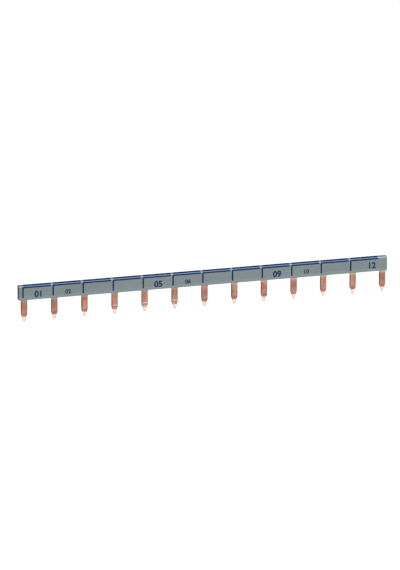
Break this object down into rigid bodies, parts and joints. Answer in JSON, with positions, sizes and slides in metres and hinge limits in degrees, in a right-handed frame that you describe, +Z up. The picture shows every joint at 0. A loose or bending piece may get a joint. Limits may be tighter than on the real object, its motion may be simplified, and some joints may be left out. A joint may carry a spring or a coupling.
{
  "type": "comb busbar",
  "caption": "Straight copper comb with a row of pin prongs, held in a slim grey insulating profile with blue module marks, for feeding a row of circuit breakers.",
  "frame": {"origin": "middle of the row of prongs, half way through the copper's thickness, level with the profile's underside", "axes": "+X along the bar to the viewer's right, -Y out of the printed front face, +Z up, prongs point to -Z"},
  "size_m": [0.2195, 0.0032, 0.0214],
  "materials": {
    "grey_plastic": "satin grey extruded PVC",
    "copper": "bare rolled copper, stamped and coined",
    "blue_ink": "printed blue ink"
  },
  "bodies": {
    "root": {"insulating_profile": "grey_plastic", "copper_comb": "copper", "printed_marking": "blue_ink"}
  },
  "joints": []
}
